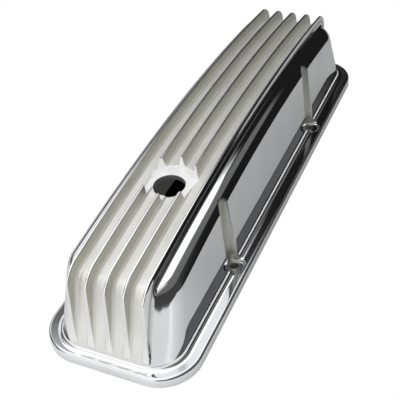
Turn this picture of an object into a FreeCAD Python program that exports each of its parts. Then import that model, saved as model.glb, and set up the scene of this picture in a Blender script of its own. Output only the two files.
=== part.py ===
import FreeCAD, Part
import math
import os

import Sketcher

# Engine valve cover, one aluminium casting. X runs along the cover, Y across it, Z up.
# The origin is the centre of the gasket face, which is the flat underside of the flange.

doc = FreeCAD.newDocument("valve_cover")
sheet = doc.addObject("Spreadsheet::Sheet", "sizes")

# Millimetres and degrees, one row for each size.
sizes = [
    ("flangeEnd", 7.0),
    ("flangeSide", 12.25),
    ("flangeCorner", 32.7),
    ("flangeHeight", 9.0),
    ("flangeBevel", 1.6),
    ("boxLength", 441.0),
    ("boxWidth", 101.5),
    ("boxCorner", 25.0),
    ("sideDraft", 5.2),
    ("endDraft", 18.5),
    ("boxHeight", 82.1),
    ("crownRadius", 1470.0),
    ("shoulderRound", 11.6),
    ("longMore", 0.5),
    ("cutOver", 0.003),
    ("footRound", 5.0),
    ("finPitch", 15.05),
    ("finHeight", 9.0),
    ("finCrest", 1.8),
    ("finDraft", 10.0),
    ("finRoot", 2.0),
    ("finSink", 0.5),
    ("finFoot", 2.5),
    ("landDraft", 8.7),
    ("landInset", 0.95),
    ("boltSpan", 202.4),
    ("boltInset", 0.25),
    ("boltHole", 7.4),
    ("scallopRadius", 8.5),
    ("seatDepth", 0.6),
    ("breatherPlace", 100.3),
    ("breatherHole", 25.6),
    ("spotPlace", 97.6),
    ("spotRadius", 21.6),
    ("spotHeight", 79.3),
    ("wall", 4.0),
    ("roofWall", 4.5),
    ("innerBevel", 5.0),
]
# Sizes that follow from others: the flange stands out from the box by its two ledges, the bolts
# stand just inside the foot of the long walls, and the long shoulders are a little rounder than
# those of the ends.
tied = [
    ("flangeLength", "=boxLength + 2*flangeEnd"),
    ("flangeWidth", "=boxWidth + 2*flangeSide"),
    ("boltWidth", "=boxWidth - 2*boltInset"),
    ("longRound", "=shoulderRound + longMore"),
]
for row, (alias, value) in enumerate(sizes + tied, start=1):
    sheet.set("A%d" % row, alias)
    sheet.set("B%d" % row, str(value))
    sheet.setAlias("B%d" % row, alias)
doc.recompute()

# How many fins there are, how near a point lies to an edge that it picks, and how far the cuts
# reach below the gasket face, up above the fins and out past the flange.
finCount = 5
nearby = 0.02
underRoom = 1.0
skyHeight = 130.0
skyRoom = 20.0


def size(alias):
    return float(sheet.get(alias))


def vec(x, y):
    return FreeCAD.Vector(x, y, 0)


def originPlane(body, role):
    for feature in body.Origin.OriginFeatures:
        if feature.Role == role:
            return feature
    raise RuntimeError("no plane " + role)


def makeSketch(body, name, role, offset=None):
    # offset maps an axis letter to the expression that moves the sketch along that axis
    sketch = body.newObject("Sketcher::SketchObject", name)
    sketch.AttachmentSupport = [(originPlane(body, role), "")]
    sketch.MapMode = "FlatFace"
    for axis, text in (offset or {}).items():
        sketch.setExpression("AttachmentOffset.Base." + axis, text)
    doc.recompute()
    return sketch


def bind(sketch, index, name, text):
    sketch.renameConstraint(index, name)
    sketch.setExpression("Constraints." + name, text)


def fixPoint(sketch, geometry, point, name, textX, textY, valueX, valueY):
    # places one point of a sketch by two bound distances from the sketch origin
    x = sketch.addConstraint(Sketcher.Constraint("DistanceX", -1, 1, geometry, point, valueX))
    bind(sketch, x, name + "X", textX)
    y = sketch.addConstraint(Sketcher.Constraint("DistanceY", -1, 1, geometry, point, valueY))
    bind(sketch, y, name + "Y", textY)


def roundedRectangle(sketch, length, width, corner, texts):
    # four sides joined by four tangent arcs, centred on the sketch origin
    halfX, halfY, r = length / 2, width / 2, corner
    corners = [
        (halfX - r, halfY - r, 0),
        (-halfX + r, halfY - r, 90),
        (-halfX + r, -halfY + r, 180),
        (halfX - r, -halfY + r, 270),
    ]
    arcs = []
    for cx, cy, start in corners:
        circle = Part.Circle(vec(cx, cy), FreeCAD.Vector(0, 0, 1), r)
        arc = Part.ArcOfCircle(circle, math.radians(start), math.radians(start + 90))
        arcs.append(sketch.addGeometry(arc, False))
    sides = []
    for index in range(4):
        first = sketch.Geometry[arcs[index]].EndPoint
        second = sketch.Geometry[arcs[(index + 1) % 4]].StartPoint
        sides.append(sketch.addGeometry(Part.LineSegment(first, second), False))
    for index in range(4):
        following = arcs[(index + 1) % 4]
        sketch.addConstraint(Sketcher.Constraint("Tangent", arcs[index], 2, sides[index], 1))
        sketch.addConstraint(Sketcher.Constraint("Tangent", sides[index], 2, following, 1))
    for index in range(1, 4):
        sketch.addConstraint(Sketcher.Constraint("Equal", arcs[0], arcs[index]))
    sketch.addConstraint(Sketcher.Constraint("Horizontal", sides[0]))
    sketch.addConstraint(Sketcher.Constraint("Vertical", sides[1]))
    sketch.addConstraint(Sketcher.Constraint("Horizontal", sides[2]))
    sketch.addConstraint(Sketcher.Constraint("Vertical", sides[3]))
    sketch.addConstraint(Sketcher.Constraint("Symmetric", arcs[0], 3, arcs[2], 3, -1, 1))
    radius = sketch.addConstraint(Sketcher.Constraint("Radius", arcs[0], r))
    bind(sketch, radius, "corner", texts[2])
    middle = arcs[0]
    x = sketch.addConstraint(Sketcher.Constraint("DistanceX", -1, 1, middle, 3, halfX - r))
    bind(sketch, x, "reachX", "(%s)/2 - (%s)" % (texts[0], texts[2]))
    y = sketch.addConstraint(Sketcher.Constraint("DistanceY", -1, 1, middle, 3, halfY - r))
    bind(sketch, y, "reachY", "(%s)/2 - (%s)" % (texts[1], texts[2]))


def boltCircles(sketch, radius, text):
    # one circle at each of the four bolts
    halfX, halfY = size("boltSpan") / 2, size("boltWidth") / 2
    for index, (sx, sy) in enumerate(((1, 1), (-1, 1), (-1, -1), (1, -1))):
        circle = Part.Circle(vec(sx * halfX, sy * halfY), FreeCAD.Vector(0, 0, 1), radius)
        item = sketch.addGeometry(circle, False)
        name = "bolt%d" % (index + 1)
        across = "%d*sizes.boltSpan/2" % sx
        along = "%d*sizes.boltWidth/2" % sy
        fixPoint(sketch, item, 3, name, across, along, sx * halfX, sy * halfY)
        grown = sketch.addConstraint(Sketcher.Constraint("Radius", item, radius))
        bind(sketch, grown, name + "Radius", text)


def polygon(sketch, name, points, texts):
    # closed outline through points; every corner is placed by its two expressions
    lines = []
    for index, start in enumerate(points):
        end = points[(index + 1) % len(points)]
        lines.append(sketch.addGeometry(Part.LineSegment(vec(*start), vec(*end)), False))
    for index, line in enumerate(lines):
        following = lines[(index + 1) % len(lines)]
        sketch.addConstraint(Sketcher.Constraint("Coincident", line, 2, following, 1))
    for index, line in enumerate(lines):
        label = "%s%d" % (name, index + 1)
        fixPoint(sketch, line, 1, label, texts[index][0], texts[index][1], *points[index])


def feature(body, kind, name, **values):
    item = body.newObject(kind, name)
    for key, value in values.items():
        setattr(item, key, value)
    return item


def sideProfile(body, name, inset, drop, low, lowText):
    # trapezoid seen from the side: leaning ends and a long shallow arch for the roof
    # inset and drop are the sizes of the walls taken off the ends and off the roof
    slope = math.tan(math.radians(size("endDraft")))
    insetValue, dropValue = (size(inset), size(drop)) if inset else (0.0, 0.0)
    insetText, dropText = ("sizes." + inset, "sizes." + drop) if inset else ("0", "0")
    radius = size("crownRadius") - dropValue
    centreZ = size("boxHeight") - size("crownRadius")
    reach = size("boxLength") / 2 - insetValue
    # the end line, x = reach - (z - flangeHeight)*slope, meets the arch at this point
    base = reach + (size("flangeHeight") - centreZ) * slope
    rise = (base * slope + math.sqrt(radius ** 2 * (1 + slope ** 2) - base ** 2)) / (1 + slope ** 2)
    corner = (base - rise * slope, centreZ + rise)
    foot = reach - (low - size("flangeHeight")) * slope
    sketch = makeSketch(body, name + "Side", "XZ_Plane")
    turn = math.atan2(rise, corner[0])
    circle = Part.Circle(vec(0, centreZ), FreeCAD.Vector(0, 0, 1), radius)
    arch = sketch.addGeometry(Part.ArcOfCircle(circle, turn, math.pi - turn), False)
    left = Part.LineSegment(vec(-corner[0], corner[1]), vec(-foot, low))
    leftLine = sketch.addGeometry(left, False)
    under = sketch.addGeometry(Part.LineSegment(vec(-foot, low), vec(foot, low)), False)
    rightLine = sketch.addGeometry(Part.LineSegment(vec(foot, low), vec(*corner)), False)
    ring = ((arch, leftLine), (leftLine, under), (under, rightLine), (rightLine, arch))
    for first, second in ring:
        sketch.addConstraint(Sketcher.Constraint("Coincident", first, 2, second, 1))
    grown = sketch.addConstraint(Sketcher.Constraint("Radius", arch, radius))
    bind(sketch, grown, "crown", "sizes.crownRadius - " + dropText)
    fixPoint(sketch, arch, 3, "centre", "0", "sizes.boxHeight - sizes.crownRadius", 0, centreZ)
    reachText = "(sizes.boxLength/2 - %s - (%s - sizes.flangeHeight)*tan(sizes.endDraft*1 deg))"
    reachText = reachText % (insetText, lowText)
    fixPoint(sketch, under, 2, "right", reachText, lowText, foot, low)
    fixPoint(sketch, under, 1, "left", "-" + reachText, lowText, -foot, low)
    upright = math.pi / 2 + math.radians(size("endDraft"))
    lean = sketch.addConstraint(Sketcher.Constraint("Angle", -1, 1, rightLine, 1, upright))
    bind(sketch, lean, "rightLean", "90 + sizes.endDraft")
    lean = sketch.addConstraint(Sketcher.Constraint("Angle", -1, 1, leftLine, 2, math.pi - upright))
    bind(sketch, lean, "leftLean", "90 - sizes.endDraft")
    doc.recompute()
    return sketch


def taperedBox(body, name, walls, low, lowText):
    # the side profile carried across the cover, then both long sides cut to their draft
    inset, drop = walls
    sketch = sideProfile(body, name, inset, drop, low, lowText)
    slab = feature(body, "PartDesign::Pad", name, Profile=sketch, Midplane=True)
    slab.setExpression("Length", "sizes.flangeWidth")
    doc.recompute()
    slope = math.tan(math.radians(size("sideDraft")))
    half = size("boxWidth") / 2 - (size(inset) if inset else 0.0)
    halfText = "sizes.boxWidth/2 - " + ("sizes." + inset if inset else "0")
    out = size("flangeWidth") / 2 + skyRoom
    outText = "sizes.flangeWidth/2 + %g" % skyRoom
    sideX = "%s - (%s - sizes.flangeHeight)*tan(sizes.sideDraft*1 deg)"
    points = [
        (half - (low - size("flangeHeight")) * slope, low),
        (half - (skyHeight - size("flangeHeight")) * slope, skyHeight),
        (out, skyHeight),
        (out, low),
    ]
    texts = [
        (sideX % (halfText, lowText), lowText),
        (sideX % (halfText, "%g" % skyHeight), "%g" % skyHeight),
        (outText, "%g" % skyHeight),
        (outText, lowText),
    ]
    wedge = makeSketch(body, name + "Wedge", "YZ_Plane")
    polygon(wedge, "wedge", points, texts)
    cut = feature(body, "PartDesign::Pocket", name + "Draft", Profile=wedge, Type="ThroughAll")
    cut.Midplane = True
    doc.recompute()
    both = feature(body, "PartDesign::Mirrored", name + "Drafts", Originals=[cut])
    both.MirrorPlane = (originPlane(body, "XZ_Plane"), [""])
    body.Tip = both
    doc.recompute()
    return both


def isUpright(point, edge):
    # the four corner edges of a tapered box
    ends = [vertex.Point for vertex in edge.Vertexes]
    return len(ends) == 2 and abs(ends[0].z - ends[1].z) > size("boxHeight") / 2


def edgesWhere(shape, test):
    # names of the edges whose middle point passes the test
    names = []
    for index, edge in enumerate(shape.Edges, start=1):
        first, last = edge.ParameterRange
        middle = edge.valueAt((first + last) / 2)
        if test(middle, edge):
            names.append("Edge%d" % index)
    return names


def roundEdges(body, base, name, radiusText, test):
    names = edgesWhere(base.Shape, test)
    fillet = feature(body, "PartDesign::Fillet", name, Base=(base, names))
    fillet.setExpression("Radius", radiusText)
    doc.recompute()
    return fillet


def bevelEdges(body, base, name, sizeText, test):
    names = edgesWhere(base.Shape, test)
    bevel = feature(body, "PartDesign::Chamfer", name, Base=(base, names))
    bevel.setExpression("Size", sizeText)
    doc.recompute()
    return bevel


def onRoofEdge(drop):
    # the loop where the tapered sides and ends meet the arched roof
    radius = size("crownRadius") - drop
    top = size("boxHeight") - drop

    def test(point, edge):
        roof = top - radius + math.sqrt(radius ** 2 - point.x ** 2)
        return abs(point.z - roof) < nearby

    return test


def box(body):
    drafted = taperedBox(body, "box", (None, None), 0.0, "0")
    corners = roundEdges(body, drafted, "boxCorners", "sizes.boxCorner", isUpright)
    return roundEdges(body, corners, "shoulder", "sizes.shoulderRound", onRoofEdge(0.0))


def longShoulders(body):
    # the long shoulders are one even ring surface on each side, a little larger than the rolled
    # shoulder of the ends, so that it takes its place along the straight wall and fades at the corners
    # the ring's axis stands square to the wall, and its circle follows the arch of the roof
    # its round stands past wall and roof by cutOver, so that it meets them in clean lines
    across, draft = size("longRound"), math.radians(size("sideDraft"))
    ring = (size("crownRadius") - across) * math.cos(draft)
    ringText = "((sizes.crownRadius - sizes.longRound)*cos(sizes.sideDraft*1 deg))"
    ballZ = size("boxHeight") - across
    ballZText = "(sizes.boxHeight - sizes.longRound)"
    wallY = size("boxWidth") / 2 - (ballZ - size("flangeHeight")) * math.tan(draft)
    ballY = wallY - across / math.cos(draft)
    ballYText = "(sizes.boxWidth/2 - (%s - sizes.flangeHeight)*tan(sizes.sideDraft*1 deg)" % ballZText
    ballYText += " - sizes.longRound/cos(sizes.sideDraft*1 deg))"
    radius = across + size("cutOver")
    radiusText = "(sizes.longRound + sizes.cutOver)"
    normal = (math.cos(draft), math.sin(draft))
    normalText = ("cos(sizes.sideDraft*1 deg)", "sin(sizes.sideDraft*1 deg)")
    wallEnd = (ballY + radius * normal[0], ballZ + radius * normal[1])
    roofEnd = (ballY, ballZ + radius)
    far = (wallEnd[0] + skyRoom * normal[0], wallEnd[1] + skyRoom * normal[1])
    high = (ballY, roofEnd[1] + skyRoom)
    corner = (far[0], high[1])
    reachText = "(%s + %g)" % (radiusText, skyRoom)
    farText = ("%s + %s*%s" % (ballYText, reachText, normalText[0]),
               "%s + %s*%s" % (ballZText, reachText, normalText[1]))
    highText = (ballYText, "%s + %s" % (ballZText, reachText))
    sketch = makeSketch(body, "shoulderArc", "YZ_Plane")
    circle = Part.Circle(vec(ballY, ballZ), FreeCAD.Vector(0, 0, 1), radius)
    arc = sketch.addGeometry(Part.ArcOfCircle(circle, draft, math.pi / 2), False)
    path = [(roofEnd, high), (high, corner), (corner, far), (far, wallEnd)]
    lines = [sketch.addGeometry(Part.LineSegment(vec(*start), vec(*end)), False) for start, end in path]
    chain = [arc] + lines
    for index, item in enumerate(chain):
        following = chain[(index + 1) % len(chain)]
        sketch.addConstraint(Sketcher.Constraint("Coincident", item, 2, following, 1))
    grown = sketch.addConstraint(Sketcher.Constraint("Radius", arc, radius))
    bind(sketch, grown, "ball", radiusText)
    fixPoint(sketch, arc, 3, "ballCentre", ballYText, ballZText, ballY, ballZ)
    fixPoint(sketch, lines[0], 2, "high", *highText, *high)
    fixPoint(sketch, lines[2], 2, "far", *farText, *far)
    sketch.addConstraint(Sketcher.Constraint("Vertical", lines[0]))
    sketch.addConstraint(Sketcher.Constraint("Horizontal", lines[1]))
    sketch.addConstraint(Sketcher.Constraint("Vertical", lines[2]))
    turned = sketch.addConstraint(Sketcher.Constraint("Angle", -1, 1, lines[3], 2, draft))
    bind(sketch, turned, "square", "sizes.sideDraft")
    # the axis is a guide line through the ring's centre, square to the wall
    centre = (ballY + ring * math.sin(draft), ballZ - ring * math.cos(draft))
    tip = (centre[0] + skyRoom * normal[0], centre[1] + skyRoom * normal[1])
    centreText = ("%s + %s*%s" % (ballYText, ringText, normalText[1]),
                  "%s - %s*%s" % (ballZText, ringText, normalText[0]))
    tipText = ("%s + %g*%s" % (centreText[0], skyRoom, normalText[0]),
               "%s + %g*%s" % (centreText[1], skyRoom, normalText[1]))
    axis = sketch.addGeometry(Part.LineSegment(vec(*centre), vec(*tip)), True)
    fixPoint(sketch, axis, 1, "centre", *centreText, *centre)
    fixPoint(sketch, axis, 2, "tip", *tipText, *tip)
    doc.recompute()
    cut = feature(body, "PartDesign::Groove", "longShoulder", Profile=sketch, Midplane=True)
    cut.ReferenceAxis = (sketch, ["Axis0"])
    cut.setExpression("Angle", "2*asin(sizes.flangeLength/2/%s)" % ringText)
    doc.recompute()
    both = feature(body, "PartDesign::Mirrored", "longShoulders", Originals=[cut])
    both.MirrorPlane = (originPlane(body, "XZ_Plane"), [""])
    body.Tip = both
    doc.recompute()
    return both


def flange(body):
    ring = makeSketch(body, "flangeRing", "XY_Plane")
    names = ("flangeLength", "flangeWidth", "flangeCorner")
    roundedRectangle(ring, *[size(name) for name in names], ["sizes." + name for name in names])
    pad = feature(body, "PartDesign::Pad", "flangePad", Profile=ring)
    pad.setExpression("Length", "sizes.flangeHeight")
    doc.recompute()

    def atTop(point):
        return abs(point.z - size("flangeHeight")) < nearby

    def isOuter(point):
        # on the flange's outline or on the inner edge of its bevel, and not at the box's foot
        corner = size("flangeCorner")
        x = max(abs(point.x) - size("flangeLength") / 2 + corner, 0)
        y = max(abs(point.y) - size("flangeWidth") / 2 + corner, 0)
        return math.hypot(x, y) > corner - size("flangeBevel") - nearby

    def rim(point, edge):
        return atTop(point) and isOuter(point)

    def foot(point, edge):
        return atTop(point) and not isOuter(point)

    bevelled = bevelEdges(body, pad, "flangeRim", "sizes.flangeBevel", rim)
    return roundEdges(body, bevelled, "foot", "sizes.footRound", foot)


landText = "(sizes.flangeHeight + sizes.landInset"
landText += "/(tan(sizes.endDraft*1 deg) - tan(sizes.landDraft*1 deg)))"


def landStart():
    # height at which the planed fin ends run out into the box's end face
    slopes = math.tan(math.radians(size("endDraft"))) - math.tan(math.radians(size("landDraft")))
    return size("flangeHeight") + size("landInset") / slopes


def finPath(body):
    # half of a fin's run along the roof: arch, bend and end face, from the middle to one end
    radius, top, bend = size("crownRadius"), size("boxHeight"), size("shoulderRound")
    draft = math.radians(size("endDraft"))
    base = size("boxLength") / 2
    foot = size("flangeHeight")
    # the bend's centre lies the bend radius inside both the end line and the arch
    normal = (-math.cos(draft), math.sin(draft))
    edgeAt = (-base, foot)
    reach = radius - bend
    centreZ = top - radius
    # walk along the line parallel to the end face until it meets the inner arch
    start = (edgeAt[0] - bend * normal[0], edgeAt[1] - bend * normal[1])
    way = (math.sin(draft), math.cos(draft))
    half = way[0] * start[0] + way[1] * (start[1] - centreZ)
    rest = start[0] ** 2 + (start[1] - centreZ) ** 2 - reach ** 2
    walk = -half + math.sqrt(half ** 2 - rest)
    centre = (start[0] + walk * way[0], start[1] + walk * way[1])
    tangent = (centre[0] + bend * normal[0], centre[1] + bend * normal[1])
    out = math.atan2(centre[1] - centreZ, centre[0])
    joint = (radius * math.cos(out), centreZ + radius * math.sin(out))
    low = (edgeAt[0] + (landStart() - foot) * math.tan(draft), landStart())

    sketch = makeSketch(body, "finPath", "XZ_Plane", {"z": "2*sizes.finPitch"})
    up = FreeCAD.Vector(0, 0, 1)
    arch = Part.ArcOfCircle(Part.Circle(vec(0, centreZ), up, radius), math.pi / 2, out)
    turn = Part.ArcOfCircle(Part.Circle(vec(*centre), up, bend), out, math.pi - draft)
    archItem = sketch.addGeometry(arch, False)
    turnItem = sketch.addGeometry(turn, False)
    lineItem = sketch.addGeometry(Part.LineSegment(vec(*tangent), vec(*low)), False)
    sketch.addConstraint(Sketcher.Constraint("Tangent", archItem, 2, turnItem, 1))
    sketch.addConstraint(Sketcher.Constraint("Tangent", turnItem, 2, lineItem, 1))
    grown = sketch.addConstraint(Sketcher.Constraint("Radius", archItem, radius))
    bind(sketch, grown, "crown", "sizes.crownRadius")
    turned = sketch.addConstraint(Sketcher.Constraint("Radius", turnItem, bend))
    bind(sketch, turned, "bend", "sizes.shoulderRound")
    middle = "sizes.boxHeight - sizes.crownRadius"
    fixPoint(sketch, archItem, 3, "centre", "0", middle, 0, centreZ)
    sketch.addConstraint(Sketcher.Constraint("PointOnObject", archItem, 1, -2))
    endX = "-sizes.boxLength/2 + (%s - sizes.flangeHeight)*tan(sizes.endDraft*1 deg)" % landText
    fixPoint(sketch, lineItem, 2, "foot", endX, landText, *low)
    lean = Sketcher.Constraint("Angle", -1, 1, lineItem, 2, math.pi / 2 - draft)
    leaned = sketch.addConstraint(lean)
    bind(sketch, leaned, "lean", "90 - sizes.endDraft")
    doc.recompute()
    return sketch


def finProfile(body):
    # flat crest, drafted flanks and bevelled roots, with its own foot sunk into the roof
    half, root, slope = size("finCrest") / 2, size("finRoot"), math.tan(math.radians(size("finDraft")))
    crestZ = size("boxHeight") + size("finHeight")
    under = size("boxHeight") - size("finSink")
    deep = size("boxHeight") - size("finFoot")
    rootX = half + (crestZ - under - root) * slope
    halves = [(half, crestZ), (rootX, under + root), (rootX + root, under), (rootX + root, deep)]
    rootText = "(sizes.finCrest/2 + (sizes.finHeight + sizes.finSink - sizes.finRoot)"
    rootText += "*tan(sizes.finDraft*1 deg))"
    bevelText = "(" + rootText + " + sizes.finRoot)"
    halfTexts = [
        ("sizes.finCrest/2", "sizes.boxHeight + sizes.finHeight"),
        (rootText, "sizes.boxHeight - sizes.finSink + sizes.finRoot"),
        (bevelText, "sizes.boxHeight - sizes.finSink"),
        (bevelText, "sizes.boxHeight - sizes.finFoot"),
    ]
    points = halves + [(-x, z) for x, z in reversed(halves)]
    texts = halfTexts + [("-" + x, z) for x, z in reversed(halfTexts)]
    sketch = makeSketch(body, "finProfile", "YZ_Plane", {"x": "-2*sizes.finPitch"})
    polygon(sketch, "fin", points, texts)
    doc.recompute()
    return sketch


def fins(body):
    # one half fin swept from the middle to an end, mirrored, then repeated across the roof
    path = finPath(body)
    profile = finProfile(body)
    half = feature(body, "PartDesign::AdditivePipe", "halfFin", Profile=profile)
    half.Spine = (path, ["Edge1", "Edge2", "Edge3"])
    doc.recompute()
    comb = body.newObject("PartDesign::MultiTransform", "comb")
    comb.Originals = [half]
    mirror = doc.addObject("PartDesign::Mirrored", "otherEnd")
    mirror.MirrorPlane = (originPlane(body, "YZ_Plane"), [""])
    row = doc.addObject("PartDesign::LinearPattern", "finRow")
    row.Direction = (originPlane(body, "Y_Axis"), [""])
    row.Occurrences = finCount
    row.Mode = "Spacing"
    row.setExpression("Offset", "sizes.finPitch")
    comb.Transformations = [mirror, row]
    body.Tip = comb
    doc.recompute()
    return comb


def endLands(body):
    # flat lands: the fin ends are planed off by a steeper face than the box's own end
    foot = size("flangeHeight")
    lean = math.tan(math.radians(size("landDraft")))
    start = size("boxLength") / 2 - size("landInset")
    low = landStart()
    nearText = "-(sizes.boxLength/2 - sizes.landInset - (%s - sizes.flangeHeight)"
    nearText += "*tan(sizes.landDraft*1 deg))"
    outText = "-(sizes.boxLength/2 + %g)" % skyRoom
    out = -size("boxLength") / 2 - skyRoom
    points = [
        (-(start - (low - foot) * lean), low),
        (-(start - (skyHeight - foot) * lean), skyHeight),
        (out, skyHeight),
        (out, low),
    ]
    texts = [
        (nearText % landText, landText),
        (nearText % ("%g" % skyHeight), "%g" % skyHeight),
        (outText, "%g" % skyHeight),
        (outText, landText),
    ]
    sketch = makeSketch(body, "landLine", "XZ_Plane")
    polygon(sketch, "land", points, texts)
    cut = feature(body, "PartDesign::Pocket", "land", Profile=sketch, Type="ThroughAll")
    cut.Midplane = True
    doc.recompute()
    both = feature(body, "PartDesign::Mirrored", "lands", Originals=[cut])
    both.MirrorPlane = (originPlane(body, "YZ_Plane"), [""])
    body.Tip = both
    doc.recompute()
    return both


def roundCut(body, name, place, across, height, heightText, textX, textR, down):
    # one upright round cut on the centre line, from a level up or right through
    sketch = makeSketch(body, name + "Circle", "XY_Plane", {"z": heightText})
    circle = Part.Circle(vec(-place, 0), FreeCAD.Vector(0, 0, 1), across)
    item = sketch.addGeometry(circle, False)
    fixPoint(sketch, item, 3, name, textX, "0", -place, 0)
    grown = sketch.addConstraint(Sketcher.Constraint("Radius", item, across))
    bind(sketch, grown, name + "Radius", textR)
    cut = feature(body, "PartDesign::Pocket", name, Profile=sketch, Type="ThroughAll")
    cut.Reversed = not down
    doc.recompute()
    return cut


def boltCuts(body, name, radius, textR, height, heightText, down):
    sketch = makeSketch(body, name + "Circles", "XY_Plane", {"z": heightText})
    boltCircles(sketch, radius, textR)
    cut = feature(body, "PartDesign::Pocket", name, Profile=sketch, Type="ThroughAll")
    cut.Reversed = not down
    doc.recompute()
    return cut


def cavity():
    # the hollow under the roof, as a solid: it leaves one wall thickness everywhere
    # and a column of metal round each bolt scallop
    tool = doc.addObject("PartDesign::Body", "cavity")
    drafted = taperedBox(tool, "hollow", ("wall", "roofWall"), -underRoom, "-%g" % underRoom)
    corners = roundEdges(tool, drafted, "hollowCorners", "sizes.boxCorner - sizes.wall", isUpright)
    bevelEdges(tool, corners, "hollowBevel", "sizes.innerBevel", onRoofEdge(size("roofWall")))
    radius = size("scallopRadius") + size("wall")
    columns = "sizes.scallopRadius + sizes.wall"
    boltCuts(tool, "columns", radius, columns, -underRoom, "-%g" % underRoom, False)
    return tool


body = doc.addObject("PartDesign::Body", "valveCover")
body.Label = "valve_cover"
box(body)
longShoulders(body)
flange(body)
fins(body)
endLands(body)
spot = size("spotRadius")
roundCut(body, "spotFace", size("spotPlace"), spot, size("spotHeight"), "sizes.spotHeight",
         "-sizes.spotPlace", "sizes.spotRadius", False)
seat = "sizes.flangeHeight - sizes.seatDepth"
boltCuts(body, "scallops", size("scallopRadius"), "sizes.scallopRadius",
         size("flangeHeight") - size("seatDepth"), seat, False)
tool = cavity()
hollow = body.newObject("PartDesign::Boolean", "hollowOut")
hollow.Type = "Cut"
hollow.addObjects([tool])
body.Tip = hollow
doc.recompute()
hole = size("breatherHole") / 2
roundCut(body, "breather", size("breatherPlace"), hole, skyHeight, "%g" % skyHeight,
         "-sizes.breatherPlace", "sizes.breatherHole/2", True)
boltCuts(body, "boltHoles", size("boltHole") / 2, "sizes.boltHole/2", skyHeight, "%g" % skyHeight, True)

faults = [item.Name for item in doc.Objects if "Invalid" in item.State or "Error" in item.State]
if faults:
    raise RuntimeError("failed: " + ", ".join(faults))
if body.Shape.isNull() or not body.Shape.isValid() or len(body.Shape.Solids) != 1:
    raise RuntimeError("the cover is not one sound solid")
os.makedirs("parts", exist_ok=True)
body.Shape.exportStep("parts/valve_cover.step")
print("valve_cover", round(body.Shape.Volume), "mm3", body.Shape.BoundBox)
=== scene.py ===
import math

import bmesh
import bpy
import numpy as np
from mathutils import Matrix


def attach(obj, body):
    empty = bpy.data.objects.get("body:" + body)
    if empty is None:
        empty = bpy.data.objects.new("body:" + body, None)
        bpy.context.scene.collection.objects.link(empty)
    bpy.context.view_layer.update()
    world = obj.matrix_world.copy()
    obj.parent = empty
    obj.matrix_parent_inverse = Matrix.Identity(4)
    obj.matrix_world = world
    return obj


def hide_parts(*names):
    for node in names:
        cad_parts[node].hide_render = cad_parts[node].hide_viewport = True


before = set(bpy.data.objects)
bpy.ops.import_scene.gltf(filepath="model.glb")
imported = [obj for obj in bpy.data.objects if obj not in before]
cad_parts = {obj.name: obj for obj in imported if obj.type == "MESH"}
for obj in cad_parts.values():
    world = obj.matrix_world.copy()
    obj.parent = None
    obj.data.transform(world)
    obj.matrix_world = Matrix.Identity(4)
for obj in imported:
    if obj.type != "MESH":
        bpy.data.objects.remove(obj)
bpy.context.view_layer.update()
print("frame loaded")

mm = 0.001          # sizes are in millimetres, but for the places of the studio and the camera
noLimit = 999.0     # stands for a length that nothing limits


# The casting, seen as one skin: flange, tapered box, arched roof and the hollow inside.
cover = {
    "flangeLength": 455.0,
    "flangeWidth": 126.0,
    "flangeCorner": 32.7,
    "flangeHeight": 9.0,
    "flangeRound": 2.5,
    "flangeBreak": 0.3,     # broken edge round the gasket face
    "flangeStep": 3.2,      # height of one more ring, which keeps the rim's facets short
    "boxLength": 441.0,
    "boxWidth": 101.5,
    "boxCorner": 25.0,
    "sideDraft": 5.2,
    "endDraft": 18.5,
    "roofHeight": 82.1,
    "roofRadius": 1470.0,
    "shoulderRound": 12.0,
    "footRound": 5.0,
    "wall": 4.0,
    "roofWall": 4.5,
    "innerRound": 6.0,
    "straight": 150.0,      # sides keep the same stations out to here, then stretch to the corner
    "sideSteps": 36,
    "outerSteps": 7,
    "cornerSteps": 20,
    "endSteps": 22,
    "rimSteps": 8,
    "flangeSteps": 13,
    "footSteps": 8,
    "wallSteps": 11,
    "shoulderSteps": 16,
    "lidSteps": 5,
    "innerWallSteps": 4,
    "innerRoundSteps": 5,
    "innerLidSteps": 3,
}

# Bolt holes and the upright scallops that make room for the bolt heads.
bolts = {
    "alongSpan": 202.4,
    "acrossSpan": 101.0,
    "hole": 7.4,
    "scallop": 8.5,
    "edge": 2.0,            # polished-over edge of each scallop
    "seatDepth": 0.6,
    "seatSoft": 2.0,        # width over which the seat's rim slopes
    "seatBlend": 4.0,       # depth of scallop at which the foot is sunk all the way
    "seatRise": 0.75,       # share of the foot's round that sinks with the seat
    "reach": 12.5,          # finer stations this far each side of a bolt
    "clear": 1.5,           # plain stations keep this far from the finer ones
    "notchSteps": 40,
    "drillLow": -5.0,
    "drillHigh": 20.0,
    "segments": 48,
}

# Five fins that run over the roof and down both ends.
fins = {
    "count": 5,
    "pitch": 15.05,
    "height": 9.0,
    "crest": 1.9,
    "draft": 10.0,
    "root": 2.5,
    "sink": 0.05,           # root starts this far under the skin
    "tuck": (0.2, 0.5),     # then turns in and down by this much
    "foot": 7.0,            # the fin goes on this far under the skin, inside the wall
    "footHalf": 1.0,
    "endTuck": 3.0,         # last station is drawn this far into the box
    "edge": 0.55,
    "over": 1.2,            # the outer root is measured this far outside the flank's foot
    "landDraft": 8.7,
    "landInset": 0.95,
    "satinFrom": 13.0,
    "archSteps": 64,
    "bendSteps": 18,
    "endSteps": 22,
    "roundSteps": 3,
    "flankSteps": 4,
    "rootSteps": 7,
    "highlightStep": 2,          # the one step of an outer flank that stays satin, as a painted highlight line
    "softSteps": 15,        # stations over which the outer root follows a change of the skin
}

# The breather hole and the flat that is cut through the fins round it.
breather = {
    "place": -100.3,
    "hole": 25.6,
    "spotPlace": -97.6,
    "spotRadius": 21.6,
    "spotHeight": 79.3,
    "cutLow": 60.0,
    "cutHigh": 130.0,
    "segments": 160,
}

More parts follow.
